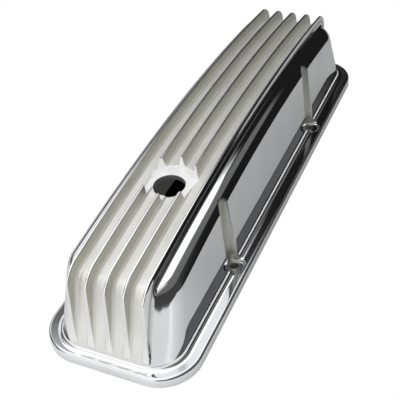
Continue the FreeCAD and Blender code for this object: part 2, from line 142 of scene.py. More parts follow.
boltAlong, boltAcross = bolts["alongSpan"] / 2, bolts["acrossSpan"] / 2
boltPlaces = [(x * boltAlong, y * boltAcross) for x in (-1, 1) for y in (-1, 1)]
arcCentre = cover["roofHeight"] - cover["roofRadius"]
sideSlope = math.tan(math.radians(cover["sideDraft"]))
endSlope = math.tan(math.radians(cover["endDraft"]))


def unit(vectors):
    # each vector divided by its length
    return vectors / np.linalg.norm(vectors, axis=-1, keepdims=True)


def turnBetween(start, end, share):
    # great-circle blend of two unit vectors a turn apart: sin((1 - share) turn) / sin(turn) of the first
    # plus sin(share turn) / sin(turn) of the second
    angle = np.arccos(np.clip((start * end).sum(-1, keepdims=True), -1.0, 1.0))
    angle = np.maximum(angle, 1e-6)
    return (np.sin((1 - share) * angle) * start + np.sin(share * angle) * end) / np.sin(angle)


def sideStations():
    # places along the straight part of a long side: even steps, with finer ones around the bolts instead
    straight, reach = cover["straight"], bolts["reach"]
    fine = np.linspace(boltAlong - reach, boltAlong + reach, bolts["notchSteps"] + 1)
    plain = np.linspace(-straight, straight, cover["sideSteps"] + 1)
    plain = plain[np.abs(np.abs(plain) - boltAlong) > reach + bolts["clear"]]
    return np.sort(np.concatenate([plain, fine, -fine]))


innerStations = sideStations()
outerShares = np.linspace(0, 1, cover["outerSteps"] + 1)[1:]   # from there to where the corner starts


def planLoop(halfLength, halfWidth, corner):
    # rounded rectangle as a closed ring: side, corner, end, corner and so on, with its outward directions
    # every ring has the same stations, so rings of different sizes join point to point
    free = halfLength - corner
    rest = cover["straight"] + outerShares * (free - cover["straight"])
    side = np.concatenate([-rest[::-1], innerStations, rest])
    endFree = halfWidth - corner
    end = np.linspace(-1, 1, cover["endSteps"] + 1) * endFree
    turn = np.linspace(0, np.pi / 2, cover["cornerSteps"] + 1)[1:-1]
    quarters = []
    for line, angle, middle in (
        (np.stack([side, -halfWidth + 0 * side], 1), -np.pi / 2, (free, -endFree)),
        (np.stack([halfLength + 0 * end, end], 1), 0.0, (free, endFree)),
        (np.stack([side[::-1], halfWidth + 0 * side], 1), np.pi / 2, (-free, endFree)),
        (np.stack([-halfLength + 0 * end, end[::-1]], 1), np.pi, (-free, -endFree)),
    ):
        way = np.array([np.cos(angle), np.sin(angle)])
        quarters.append((line, np.repeat(way[None], len(line), 0)))
        around = np.stack([np.cos(angle + turn), np.sin(angle + turn)], 1)
        quarters.append((np.array(middle) + corner * around, around))
    places = np.concatenate([q[0] for q in quarters])
    ways = np.concatenate([q[1] for q in quarters])
    return places, ways


def wallNormals(ways):
    # the walls lean by their drafts, so the normal tips up by the slope met in that direction
    lean = np.abs(ways[:, 0]) * endSlope + np.abs(ways[:, 1]) * sideSlope
    return unit(np.column_stack([ways, lean]))


def wallRing(height, inset=0.0):
    # ring on the box wall at one height; inset moves it inwards by a wall thickness
    rise = height - cover["flangeHeight"]
    halfLength = cover["boxLength"] / 2 - rise * endSlope - inset * math.hypot(1, endSlope)
    halfWidth = cover["boxWidth"] / 2 - rise * sideSlope - inset * math.hypot(1, sideSlope)
    places, ways = planLoop(halfLength, halfWidth, cover["boxCorner"] - inset)
    return np.column_stack([places, np.full(len(places), float(height))]), ways


def wallPoints(heights, inset=0.0):
    # one point of the wall for each station, each at its own height, on the line through two level rings
    upper = 100.0
    low, ways = wallRing(0.0, inset)
    high, ways = wallRing(upper, inset)
    share = (heights / upper)[:, None]
    return low * (1 - share) + high * share, ways


def rollingShoulder(radius, roofRadius, inset):
    # centres of a ball that touches both wall and roof: its height on the wall moves by what it stands
    # over or under the roof's circle, until it fits
    firstDrop, rounds = 20.0, 30
    heights = np.full(len(wallRing(0.0, inset)[1]), cover["roofHeight"] - firstDrop)
    for turn in range(rounds):
        touch, ways = wallPoints(heights, inset)
        normals = wallNormals(ways)
        centres = touch - radius * normals
        reach = np.hypot(centres[:, 0], centres[:, 2] - arcCentre)
        heights = heights - (reach - (roofRadius - radius))
    roofNormals = unit(np.column_stack([centres[:, 0], 0 * centres[:, 0], centres[:, 2] - arcCentre]))
    return centres, normals, roofNormals


def roofLine(x, roofRadius):
    # height of the arched roof, a cylinder that lies across the cover
    return arcCentre + np.sqrt(roofRadius ** 2 - x ** 2)


def scallopDepth(across, along):
    # depth of an upright scallop below a wall line: a hollow circle of the scallop's radius,
    # joined to the wall by a round edge that touches both
    radius, edge = bolts["scallop"], bolts["edge"]
    offset = boltAcross - across          # bolt axis outside the wall line
    held = np.clip(offset + edge, 0.0, radius + edge)
    reach = np.sqrt((radius + edge) ** 2 - held ** 2)
    touch = reach * radius / (radius + edge)
    hollow = np.sqrt(np.maximum(radius ** 2 - along ** 2, 0.0)) - offset
    turned = edge - np.sqrt(np.maximum(edge ** 2 - np.maximum(reach - along, 0.0) ** 2, 0.0))
    depth = np.where(along < touch, hollow, np.where(along < reach, turned, 0.0))
    return np.maximum(depth, 0.0)


def cutScallops(points):
    # every point of the long walls moves towards the middle by the scallop's depth there
    along = np.abs(np.abs(points[..., 0]) - boltAlong)
    across = np.abs(points[..., 1])
    depth = scallopDepth(across, along)
    moved = points.copy()
    moved[..., 1] = np.sign(points[..., 1]) * (across - depth)
    return moved, depth


def smoothStep(value):
    # 3 v squared minus 2 v cubed, for v held between 0 and 1
    value = np.clip(value, 0.0, 1.0)
    return value * value * (3 - 2 * value)


def lidRows(rim, roofRadius, rows):
    # rings that shrink from the roof's rim to a line along its middle, lifted onto the arch
    spine = np.column_stack([np.clip(rim[:, 0], -cover["straight"], cover["straight"]), 0 * rim[:, 0]])
    out = []
    for share in np.linspace(0, 1, rows + 1)[1:]:
        plan = rim[:, :2] * (1 - share) + spine * share
        out.append(np.column_stack([plan, roofLine(plan[:, 0], roofRadius)]))
    return out


flangeZone, wallZone, lidZone, footZone = range(4)   # what a ring of the outside belongs to


def outerRows():
    # rings of the outside from the gasket face up: rim, flange top, foot round, wall, shoulder, roof
    rows, zones = [], []
    flangeTop = cover["flangeHeight"]
    rim, edge = cover["flangeRound"], cover["flangeBreak"]
    length, width, corner = cover["flangeLength"] / 2, cover["flangeWidth"] / 2, cover["flangeCorner"]

    def add(ring, zone):
        rows.append(ring)
        zones.append(zone)

    for height in (0.0, edge, cover["flangeStep"], flangeTop - rim):
        inset = edge if height == 0.0 else 0.0
        places, ways = planLoop(length - inset, width - inset, corner - inset)
        add(np.column_stack([places, np.full(len(places), height)]), flangeZone)
    for turn in np.linspace(0, np.pi / 2, cover["rimSteps"] + 1)[1:]:
        inset = rim * (1 - np.cos(turn))
        places, ways = planLoop(length - inset, width - inset, corner - inset)
        height = flangeTop - rim + rim * np.sin(turn)
        add(np.column_stack([places, np.full(len(places), height)]), flangeZone)

    # foot round: a ball that touches the wall and the flange top
    foot = cover["footRound"]
    normals = wallNormals(ways)
    touch, ways = wallPoints(flangeTop + foot - foot * normals[:, 2])
    centres = touch + foot * normals
    down = np.repeat(np.array([[0.0, 0.0, -1.0]]), len(ways), 0)
    outer = rows[-1]
    inner = centres + foot * down
    for share in np.linspace(0, 1, cover["flangeSteps"] + 1)[1:-1]:
        add(outer * (1 - share) + inner * share, flangeZone)
    for share in np.linspace(0, 1, cover["footSteps"] + 1):
        add(centres + foot * turnBetween(down, -normals, share), footZone)

    radius = cover["shoulderRound"]
    balls, normals, roofNormals = rollingShoulder(radius, cover["roofRadius"], 0.0)
    top = balls + radius * normals
    for share in np.linspace(0, 1, cover["wallSteps"] + 1)[1:-1]:
        add(touch * (1 - share) + top * share, wallZone)
    for share in np.linspace(0, 1, cover["shoulderSteps"] + 1):
        add(balls + radius * turnBetween(normals, roofNormals, share), wallZone)
    for ring in lidRows(rows[-1], cover["roofRadius"], cover["lidSteps"]):
        add(ring, lidZone)
    grid = np.stack(rows)

    # scallops in the foot, wall and shoulder rows, and a round seat sunk in the flange top
    zone = np.array(zones)
    walls = (zone == wallZone) | (zone == footZone)
    moved, depth = cutScallops(grid[walls])
    low = flangeTop + foot * bolts["seatRise"]
    sinking = np.clip((low - moved[..., 2]) / (low - flangeTop), 0, 1)
    moved[..., 2] -= smoothStep(depth / bolts["seatBlend"]) * bolts["seatDepth"] * sinking
    grid[walls] = moved
    flat = (zone == flangeZone)[:, None] & (grid[..., 2] > flangeTop - 0.01)   # rows at the very top
    away = np.hypot(np.abs(grid[..., 0]) - boltAlong, np.abs(grid[..., 1]) - boltAcross)
    seat = smoothStep((bolts["scallop"] + bolts["seatSoft"] / 2 - away) / bolts["seatSoft"])
    grid[..., 2] -= np.where(flat, seat * bolts["seatDepth"], 0.0)
    return grid, zone


def innerRows():
    # rings of the hollow from the gasket face up: wall, inner shoulder and the underside of the roof
    rows = []
    wall, roofRadius = cover["wall"], cover["roofRadius"] - cover["roofWall"]
    radius = cover["innerRound"]
    balls, normals, roofNormals = rollingShoulder(radius, roofRadius, wall)
    base = wallRing(0.0, wall)[0]
    top = balls + radius * normals
    for share in np.linspace(0, 1, cover["innerWallSteps"] + 1)[:-1]:
        rows.append(base * (1 - share) + top * share)
    for share in np.linspace(0, 1, cover["innerRoundSteps"] + 1):
        rows.append(balls + radius * turnBetween(normals, roofNormals, share))
    rows += lidRows(rows[-1], roofRadius, cover["innerLidSteps"])
    grid = np.stack(rows)
    # a column of metal stays round each scallop
    along = np.abs(np.abs(grid[..., 0]) - boltAlong)
    across = np.abs(grid[..., 1])
    column = bolts["scallop"] + wall
    face = boltAcross - np.sqrt(np.maximum(column ** 2 - along ** 2, 0.0))
    face = np.where(along < column, face, noLimit)
    grid[..., 1] = np.sign(grid[..., 1]) * np.minimum(across, face)
    return grid


def gridFaces(rows, count, flip=False):
    # quads between neighbouring rings, closed round the loop
    first = np.arange(count)
    following = (first + 1) % count
    start = (np.arange(rows - 1) * count)[:, None]
    above = start + count
    quads = np.stack([start + first, start + following, above + following, above + first], -1).reshape(-1, 4)
    return quads[:, ::-1] if flip else quads


# Cleaning of the meshes: points nearer than a join become one, specks go, and slits of few edges close.
skin = {
    "join": 0.004,
    "speck": 0.001,
    "lastJoin": 0.01,
    "slitEdges": 12,
    "crease": 32.0,         # edges sharper than this many degrees stay sharp
}


def makeMesh(name, points, faces, materials):
    # points in millimetres, faces as quads, one finish number for each face
    mesh = bpy.data.meshes.new(name)
    mesh.from_pydata((points * mm).tolist(), [], faces.tolist())
    mesh.polygons.foreach_set("material_index", np.asarray(materials, np.int32))
    mesh.update()
    for material in finishMaterials:
        mesh.materials.append(material)
    piece = bpy.data.objects.new(name, mesh)
    bpy.context.collection.objects.link(piece)
    work = bmesh.new()
    work.from_mesh(mesh)
    bmesh.ops.remove_doubles(work, verts=work.verts, dist=skin["join"] * mm)
    bmesh.ops.dissolve_degenerate(work, edges=work.edges, dist=skin["speck"] * mm)
    bmesh.ops.recalc_face_normals(work, faces=work.faces)
    work.to_mesh(mesh)
    work.free()
    return piece


# numbers of the seven finishes on every mesh, in the order in which they stand below
polished, grooved, crested, hidden, milledAndHighlight, shadedSatin, shadedFlange = range(7)

# One alloy in seven finishes: colour, how metallic and rough it is, how far the roughness spreads, and
# how strong its fine grain and long waves are.
finishes = {
    "polishedMetal": {"color": (0.83, 0.835, 0.85), "metallic": 1.0, "roughness": 0.05, "spread": 0.03,
                      "grain": 0.02, "wave": 0.35},
    "satinMetal": {"color": (0.87, 0.868, 0.825), "metallic": 0.80, "roughness": 0.48, "spread": 0.10,
                   "grain": 0.25, "wave": 0.10},
    "crestMetal": {"color": (0.90, 0.90, 0.90), "metallic": 1.0, "roughness": 0.12, "spread": 0.05,
                   "grain": 0.05, "wave": 0.10},
    "castMetal": {"color": (0.30, 0.297, 0.29), "metallic": 0.75, "roughness": 0.55, "spread": 0.10,
                  "grain": 0.60, "wave": 0.10},
    # the milled finish of the spot face and gasket face, also laid on the foot of the walls as a painted
    # highlight line
    "milledAndHighlightMetal": {"color": (0.97, 0.97, 0.97), "metallic": 0.25, "roughness": 0.30, "spread": 0.06,
                    "grain": 0.10, "wave": 0.05},
    # a darker copy of the satin: painted shade on the fins' flanks and in the scallops
    "shadedSatinMetal": {"color": (0.66, 0.66, 0.61), "metallic": 0.95, "roughness": 0.42, "spread": 0.10,
                   "grain": 0.25, "wave": 0.10},
    # a darker copy of the polished metal: painted shade on the flange top
    "shadedFlangeMetal": {"color": (0.66, 0.665, 0.68), "metallic": 1.0, "roughness": 0.07, "spread": 0.04,
                  "grain": 0.02, "wave": 0.35},
}


# Noise that all finishes share: scale, detail and stretch along x, y and z, then the range over which the
# broad one darkens the colour and the height in millimetres of a full bump.
surfaceNoise = {
    "fine": (1400, 3, (1, 1, 1)),
    "long": (26, 1, (1.0, 1.0, 0.45)),
    "broad": (38, 4, (1, 1, 1)),
    "mottle": (("From Min", 0.3), ("From Max", 0.7), ("To Min", 0.93), ("To Max", 1.0)),
    "bump": 0.1,
}


def socket(group, name, kind, way, value=None):
    # one named input or output of a node group
    made = group.interface.new_socket(name=name, in_out=way, socket_type=kind)
    if value is not None:
        made.default_value = value


def link(tree, start, end):
    # a wire from one socket to another
    tree.links.new(start, end)


def combine(tree, kind, first, second):
    # a maths node of two inputs, each a socket or a plain number
    made = tree.nodes.new("ShaderNodeMath")
    made.operation = kind
    for index, value in enumerate((first, second)):
        if isinstance(value, (int, float)):
            made.inputs[index].default_value = value
        else:
            link(tree, value, made.inputs[index])
    return made.outputs[0]


def buildSurfaceGroup():
    # height is grain times fine noise plus wave times long noise; roughness gets spread times the broad
    # noise less a half, and the colour is darkened a little where the broad noise is low
    group = bpy.data.node_groups.new("metalSurface", "ShaderNodeTree")
    socket(group, "Color", "NodeSocketColor", "INPUT", (0.8, 0.8, 0.8, 1))
    socket(group, "Grain", "NodeSocketFloat", "INPUT", 0.1)
    socket(group, "Wave", "NodeSocketFloat", "INPUT", 0.1)
    socket(group, "Roughness", "NodeSocketFloat", "INPUT", 0.2)
    socket(group, "Spread", "NodeSocketFloat", "INPUT", 0.05)
    socket(group, "Color", "NodeSocketColor", "OUTPUT")
    socket(group, "Roughness", "NodeSocketFloat", "OUTPUT")
    socket(group, "Height", "NodeSocketFloat", "OUTPUT")
    nodes = group.nodes
    given = nodes.new("NodeGroupInput")
    result = nodes.new("NodeGroupOutput")
    place = nodes.new("ShaderNodeTexCoord")

    def noise(scale, detail, stretch):
        mapping = nodes.new("ShaderNodeMapping")
        mapping.inputs["Scale"].default_value = stretch
        link(group, place.outputs["Object"], mapping.inputs["Vector"])
        made = nodes.new("ShaderNodeTexNoise")
        made.inputs["Scale"].default_value = scale
        made.inputs["Detail"].default_value = detail
        link(group, mapping.outputs["Vector"], made.inputs["Vector"])
        return made.outputs["Fac"]

    fine, long, broad = [noise(*surfaceNoise[title]) for title in ("fine", "long", "broad")]
    grain = combine(group, "MULTIPLY", fine, given.outputs["Grain"])
    wave = combine(group, "MULTIPLY", long, given.outputs["Wave"])
    change = combine(group, "SUBTRACT", broad, 0.5)
    change = combine(group, "MULTIPLY", change, given.outputs["Spread"])
    roughness = combine(group, "ADD", given.outputs["Roughness"], change)
    link(group, combine(group, "ADD", grain, wave), result.inputs["Height"])
    link(group, roughness, result.inputs["Roughness"])
    shade = nodes.new("ShaderNodeMix")
    shade.data_type = "RGBA"
    shade.blend_type = "MULTIPLY"
    tone = nodes.new("ShaderNodeMapRange")
    for title, value in surfaceNoise["mottle"]:
        tone.inputs[title].default_value = value
    link(group, broad, tone.inputs["Value"])
    shade.inputs["Factor"].default_value = 1.0
    link(group, given.outputs["Color"], shade.inputs[6])
    link(group, tone.outputs["Result"], shade.inputs[7])
    link(group, shade.outputs[2], result.inputs["Color"])
    return group


surfaceGroup = buildSurfaceGroup()


def buildFinish(name, look):
    # one Principled shader, whose colour, roughness and bump come from the surface group
    material = bpy.data.materials.new(name)
    material.use_nodes = True
    tree = material.node_tree
    shader = tree.nodes["Principled BSDF"]
    surface = tree.nodes.new("ShaderNodeGroup")
    surface.node_tree = surfaceGroup
    surface.inputs["Color"].default_value = (*look["color"], 1)
    for title in ("Grain", "Wave", "Roughness", "Spread"):
        surface.inputs[title].default_value = look[title.lower()]
    bump = tree.nodes.new("ShaderNodeBump")
    bump.inputs["Strength"].default_value = 1.0
    bump.inputs["Distance"].default_value = surfaceNoise["bump"] * mm
    shader.inputs["Metallic"].default_value = look["metallic"]
    link(tree, surface.outputs["Color"], shader.inputs["Base Color"])
    link(tree, surface.outputs["Roughness"], shader.inputs["Roughness"])
    link(tree, surface.outputs["Height"], bump.inputs["Height"])
    link(tree, bump.outputs["Normal"], shader.inputs["Normal"])
    return material


finishMaterials = [buildFinish(name, look) for name, look in finishes.items()]


# Where the finishes of the shell change.
finishEdges = {
    "highlightRows": (5, 7),   # rows of the foot round that carry a painted highlight line
    "highlightGap": 10.0,      # it stops this far from a bolt
    "shadedFlangeDepth": 0.7,       # the painted shade of the flange top reaches this far down its rim
    "shadedCupGap": 0.4,          # the darker satin that paints a scallop's shade reaches this far past its radius
}


def buildShell():
    # rings of the outside and of the hollow as two grids of quads, joined by the gasket face
    outside, zone = outerRows()
    inside = innerRows()
    count = outside.shape[1]
    points = np.concatenate([outside.reshape(-1, 3), inside.reshape(-1, 3)])
    outFaces = gridFaces(len(outside), count)
    inFaces = gridFaces(len(inside), count, True) + len(outside) * count
    # satin between the outer fins, over the roof and down the ends; on the flange top a darker copy of the
    # polished metal that paints its shade, a painted highlight line in the foot of the walls, and satin
    # again in the scallops, where no polishing wheel gets in, in the darker copy that paints their shade
    start, stop = finishEdges["highlightRows"]
    middle = (outside[1:] + outside[:-1]) / 2
    between = np.abs(middle[..., 1]) < fins["pitch"] * 2
    down = (np.abs(middle[..., 0]) > cover["straight"]) & (middle[..., 2] > fins["satinFrom"])
    roof = (zone[1:] == lidZone)[:, None]
    fromBolt = np.abs(np.abs(middle[..., 0]) - boltAlong)
    line = np.isin(np.arange(len(zone) - 1), np.flatnonzero(zone == footZone)[start:stop])[:, None]
    line = line & (fromBolt > finishEdges["highlightGap"])
    walls = (zone == wallZone) | (zone == footZone)
    away = np.hypot(fromBolt, np.abs(middle[..., 1]) - boltAcross)
    cup = (walls[1:] & walls[:-1])[:, None] & (away < bolts["scallop"] + finishEdges["shadedCupGap"])
    flange = (zone[1:] == flangeZone) | (zone[:-1] == flangeZone)
    flat = flange[:, None] & (middle[..., 2] > cover["flangeHeight"] - finishEdges["shadedFlangeDepth"])
    outMaterial = np.where(between & (roof | down), grooved, polished)
    # painted shade: the flange top takes the darker copy of the polished metal
    outMaterial = np.where(flat, shadedFlange, outMaterial)
    # painted shade: the scallops take the darker copy of the satin
    outMaterial = np.where(cup, shadedSatin, outMaterial)
    # painted highlight: a bright line of the milled finish in the foot of the walls
    outMaterial = np.where(line, milledAndHighlight, outMaterial).reshape(-1)
    first = np.arange(count)
    following = (first + 1) % count
    base = len(outside) * count
    joint = np.stack([first, base + first, base + following, following], -1)
    faces = np.concatenate([outFaces, inFaces, joint])
    materials = np.concatenate([outMaterial, np.full(len(inFaces), hidden), np.full(count, milledAndHighlight)])
    return makeMesh("coverShell", points, faces, materials)


def finPath():
    # half of the fins' run from the middle of the roof to the foot of an end: arch, bend and straight end
    radius, bend = cover["roofRadius"], cover["shoulderRound"]
    draft = math.radians(cover["endDraft"])
    base, foot = cover["boxLength"] / 2, cover["flangeHeight"]
    # the bend's centre lies one bend radius inside both the end face and the arch
    start = np.array([base - bend * math.cos(draft), foot - bend * math.sin(draft) - arcCentre])
    way = np.array([-math.sin(draft), math.cos(draft)])
    half = start @ way
    walk = -half + math.sqrt(half ** 2 - start @ start + (radius - bend) ** 2)
    middle = start + walk * way
    lean = math.atan2(middle[0], middle[1])
    turns = np.concatenate([
        np.linspace(0, lean, fins["archSteps"] + 1),
        np.linspace(lean, np.pi / 2 - draft, fins["bendSteps"] + 1)[1:],
    ])
    onArch = turns <= lean
    ways = np.column_stack([np.sin(turns), np.cos(turns)])
    places = np.where(onArch[:, None], radius * ways, middle + bend * ways)
    slopes = endSlope - math.tan(math.radians(fins["landDraft"]))
    low = foot + fins["landInset"] / slopes
    last = places[-1]
    drop = (last[1] + arcCentre - low) / math.cos(draft)
    steps = np.linspace(0, drop, fins["endSteps"] + 1)[1:]
    line = last - steps[:, None] * way
    places = np.concatenate([places, line])
    ways = np.concatenate([ways, np.repeat(ways[-1:], len(line), 0)])
    places[:, 1] += arcCentre
    return places, ways


def landHeights(places, ways):
    # how far a fin may stand before it meets the plane that its end is planed to
    lean = math.tan(math.radians(fins["landDraft"]))
    start = cover["boxLength"] / 2 - fins["landInset"]
    room = start - places[:, 0] - (places[:, 1] - cover["flangeHeight"]) * lean
    facing = ways[:, 0] + ways[:, 1] * lean
    least = 0.02   # a fin that faces the plane less than this is taken as running along it
    return np.where(facing > least, room / np.maximum(facing, least), noLimit)


def bodyFall(places, ways, across):
    # how far the box's skin falls below the fins' path at a distance from the middle line,
    # because of the shoulder on the roof and the upright corner on the end
    onRoof = ways[:, 1] > 0.9      # past that the path has turned down the end
    side = cover["boxWidth"] / 2 - (places[:, 1] - cover["flangeHeight"]) * sideSlope
    roofEdge = side - cover["shoulderRound"] * (1 - math.tan(math.radians(cover["sideDraft"] / 2)))
    cornerEdge = side - cover["boxCorner"]
    radius = np.where(onRoof, cover["shoulderRound"], cover["boxCorner"])
    over = np.clip(across - np.where(onRoof, roofEdge, cornerEdge), 0.0, radius * 0.95)   # short of upright
    rise = np.sqrt(radius ** 2 - over ** 2)
    return radius - rise, np.arctan(over / rise)


def finHalfSection(fall, tip, top):
    # one side of a fin at every station: flat crest, small round, drafted flank and hollow root that
    # touches the skin, which may fall away by "fall" and slope by "tip"
    draft = math.radians(fins["draft"])
    half, edge, root = fins["crest"] / 2, fins["edge"], fins["root"]
    slope = math.tan(draft)
    depth = fall + fins["sink"]
    corner = np.stack([half + (top + depth) * slope, -depth], -1)
    flankWay = np.array([math.cos(draft), math.sin(draft)])
    skinWay = np.stack([np.sin(tip), np.cos(tip)], -1)
    bothWays = flankWay + skinWay
    middle = corner + root * bothWays / (1 + (flankWay * skinWay).sum(-1, keepdims=True))
    rootTop = middle - root * flankWay
    rows = [np.stack([0 * fall, 0 * fall + top], -1)]
    for turn in np.linspace(np.pi / 2, draft, fins["roundSteps"] + 1):
        point = np.array([half - edge + edge * math.cos(turn), top - edge + edge * math.sin(turn)])
        rows.append(np.repeat(point[None], len(fall), 0))
    start = rows[-1]
    for share in np.linspace(0, 1, fins["flankSteps"] + 1)[1:]:
        rows.append(start * (1 - share) + rootTop * share)
    flankWays = np.repeat(flankWay[None], len(fall), 0)
    for share in np.linspace(0, 1, fins["rootSteps"] + 1)[1:]:
        rows.append(middle - root * turnBetween(flankWays, skinWay, share))
    rows.append(rows[-1] - np.array(fins["tuck"]))
    rows.append(np.stack([0 * fall + fins["footHalf"], 0 * fall - fins["foot"]], -1))
    return np.stack(rows)


def buildFin(index):
    # both half sections round each station of the whole path, closed at the feet
    places, ways = finPath()
    tall = np.minimum(fins["height"], landHeights(places, ways))
    centre = (fins["count"] // 2 - index) * fins["pitch"]
    spread = fins["height"] * math.tan(math.radians(fins["draft"]))
    rootPlace = abs(centre) + fins["crest"] / 2 + spread + fins["over"]
    soft = np.hanning(fins["softSteps"])
    pad = fins["softSteps"] // 2
    halves, cuts = [], []
    for side in (1, -1):
        fall, tip = 0 * tall, 0 * tall
        if centre * side > fins["pitch"] * 1.5:
            # outer side of an outermost fin: the skin's fall is averaged along the path, because it
            # changes at the bend from the shoulder's to the corner's
            fall, tip = [np.convolve(np.pad(line, pad, "edge"), soft / soft.sum(), "valid")
                         for line in bodyFall(places, ways, rootPlace)]
        half = finHalfSection(fall, tip, fins["height"])
        cuts.append(half[..., 1] > tall)
        half[..., 1] = np.minimum(half[..., 1], tall)
        half[..., 0] *= side
        halves.append(half)
    ring = np.concatenate([halves[0], halves[1][:0:-1]])
    cut = np.concatenate([cuts[0], cuts[1][:0:-1]])
    # the last station is drawn into the box, so the fin ends inside it
    ring = np.concatenate([ring, ring[:, -1:] - np.array([0.0, fins["endTuck"]])], 1)
    cut = np.concatenate([cut, cut[:, -1:]], 1)
    places = np.concatenate([places, places[-1:]])
    ways = np.concatenate([ways, ways[-1:]])
    right = np.stack([
        places[:, 0] + ring[..., 1] * ways[:, 0],
        centre + ring[..., 0],
        places[:, 1] + ring[..., 1] * ways[:, 1],
    ], -1)
    left = right * np.array([-1.0, 1.0, 1.0])
    whole = np.concatenate([left[:, :0:-1], right], 1).transpose(1, 0, 2)
    stations, count = whole.shape[:2]
    faces = gridFaces(stations, count)
    # buffed crest, then the flank in a darker copy of the satin that paints its shade, then the satin root;
    # outside the outermost fins all is polished but for one satin step that paints a thin highlight line,
    # and the planed land is bright right across: all four corners were cut to it
    crestRows = 1 + fins["roundSteps"]
    flankRows = crestRows + fins["flankSteps"]
    row = np.minimum(np.arange(count), count - 1 - np.arange(count))
    # the flanks get the darker copy of the satin, which paints their shade
    materials = np.where(row < crestRows, crested, np.where(row < flankRows, shadedSatin, grooved))
    side = np.zeros(count, bool)
    if index == 0:
        side[:len(halves[0])] = True
    if index == fins["count"] - 1:
        side[len(halves[0]) - 1:] = True
    # one step of the outer flank stays satin to paint a thin highlight line
    side = side & (row >= crestRows) & (row != crestRows + fins["highlightStep"])
    materials = np.where(side, polished, materials)
    cut = np.concatenate([cut[:, :0:-1], cut], 1).T
    cut = cut[1:] & cut[:-1]
    land = cut & np.roll(cut, -1, 1)
    materials = np.where(land, crested, materials).reshape(-1)
    piece = makeMesh("fin%d" % (index + 1), whole.reshape(-1, 3), faces, materials)
    work = bmesh.new()
    work.from_mesh(piece.data)
    bmesh.ops.holes_fill(work, edges=[e for e in work.edges if e.is_boundary])
    bmesh.ops.recalc_face_normals(work, faces=work.faces)
    work.to_mesh(piece.data)
    work.free()
    return piece


def roundCutter(name, place, radius, low, high, segments, finish):
    # upright cylinder: a circle at two heights
    turns = np.linspace(0, 2 * np.pi, segments, endpoint=False)
    circle = np.column_stack([place[0] + radius * np.cos(turns), place[1] + radius * np.sin(turns)])
    points = np.concatenate([np.column_stack([circle, np.full(segments, z)]) for z in (low, high)])
    mesh = bpy.data.meshes.new(name)
    sides = gridFaces(2, segments).tolist()
    caps = [list(range(segments))[::-1], list(range(segments, 2 * segments))]
    mesh.from_pydata((points * mm).tolist(), [], sides + caps)
    mesh.polygons.foreach_set("material_index", np.full(segments + 2, finish, np.int32))
    for material in finishMaterials:
        mesh.materials.append(material)
    piece = bpy.data.objects.new(name, mesh)
    bpy.context.collection.objects.link(piece)
    return piece


def carve(target, tool, operation):
    # union or difference with a tool, which is then removed
    step = target.modifiers.new(operation.lower(), "BOOLEAN")
    step.operation = operation
    step.solver = "EXACT"
    step.object = tool
    step.material_mode = "INDEX"
    graph = bpy.context.evaluated_depsgraph_get()
    made = bpy.data.meshes.new_from_object(target.evaluated_get(graph), depsgraph=graph)
    target.modifiers.remove(step)
    target.data = made
    bpy.data.objects.remove(tool)


def closeSkin(mesh):
    # near points join and slits close, then all is smooth but for the creases
    work = bmesh.new()
    work.from_mesh(mesh)
    bmesh.ops.remove_doubles(work, verts=work.verts, dist=skin["lastJoin"] * mm)
    slits = [edge for edge in work.edges if edge.is_boundary]
    bmesh.ops.holes_fill(work, edges=slits, sides=skin["slitEdges"])
    bmesh.ops.recalc_face_normals(work, faces=work.faces)
    work.to_mesh(mesh)
    work.free()
    mesh.polygons.foreach_set("use_smooth", np.ones(len(mesh.polygons), bool))
    mesh.set_sharp_from_angle(angle=math.radians(skin["crease"]))


def buildCover():
    # the shell with the fins joined to it, less the spot face, the breather hole and the bolt holes
    shell = buildShell()
    print("shell", len(shell.data.vertices))
    for index in range(fins["count"]):
        carve(shell, buildFin(index), "UNION")
        print("fin", index + 1, len(shell.data.vertices))
    low, high, segments = breather["cutLow"], breather["cutHigh"], breather["segments"]
    spot = roundCutter("spot", (breather["spotPlace"], 0.0), breather["spotRadius"], breather["spotHeight"],
                       high, segments, milledAndHighlight)
    carve(shell, spot, "DIFFERENCE")
    hole = roundCutter("hole", (breather["place"], 0.0), breather["hole"] / 2, low, high, segments, hidden)
    carve(shell, hole, "DIFFERENCE")
    for place in boltPlaces:
        drill = roundCutter("bolt", place, bolts["hole"] / 2, bolts["drillLow"], bolts["drillHigh"],
                            bolts["segments"], hidden)
        carve(shell, drill, "DIFFERENCE")
    closeSkin(shell.data)
    shell.name = "polishedCover"
    return shell


coverPiece = buildCover()
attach(coverPiece, "root")
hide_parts("valve_cover")
print("cover built")


# The studio: a sheet of paper that ends a hand's width from the cover, a patch of painted shade under the
# hollow, and a dark room with patches of light. The outlines and the places of the paper's tones are in
# metres, the two levels in millimetres. Each patch is a box of directions with soft sides, given for x, y
# and z as low end, full from, full to and high end, and how bright it is.
studio = {
    "sheet": ((-1.2, -0.16), (-0.47, -0.178), (-0.34, -0.215), (-0.21, -0.19), (-0.15, -0.165),
              (-0.1, -0.115), (0.5, -0.18), (1.6, -0.3), (1.6, 1.4), (-1.2, 1.4)),
    "sheetLevel": -0.2,
    "shade": ((-0.2, -0.058), (0.2, -0.058), (0.2, 0.058), (-0.2, 0.058)),
    "shadeLevel": -0.1,
    "shadeTone": 0.02,
    "roughness": 0.9,
    "paperTones": ((-0.5, 0.70), (-0.26, 0.74), (-0.236, 0.92), (-0.21, 0.72), (-0.1, 0.50), (0.1, 0.44),
                   (0.4, 0.35)),
    "glow": 1.03,           # how white the camera sees the paper, and the share of its own look it loses
    "glowShare": 0.95,
    "level": 1.1,           # plain light on matt things
    "dark": 0.012,          # what metal sees where no patch is
}

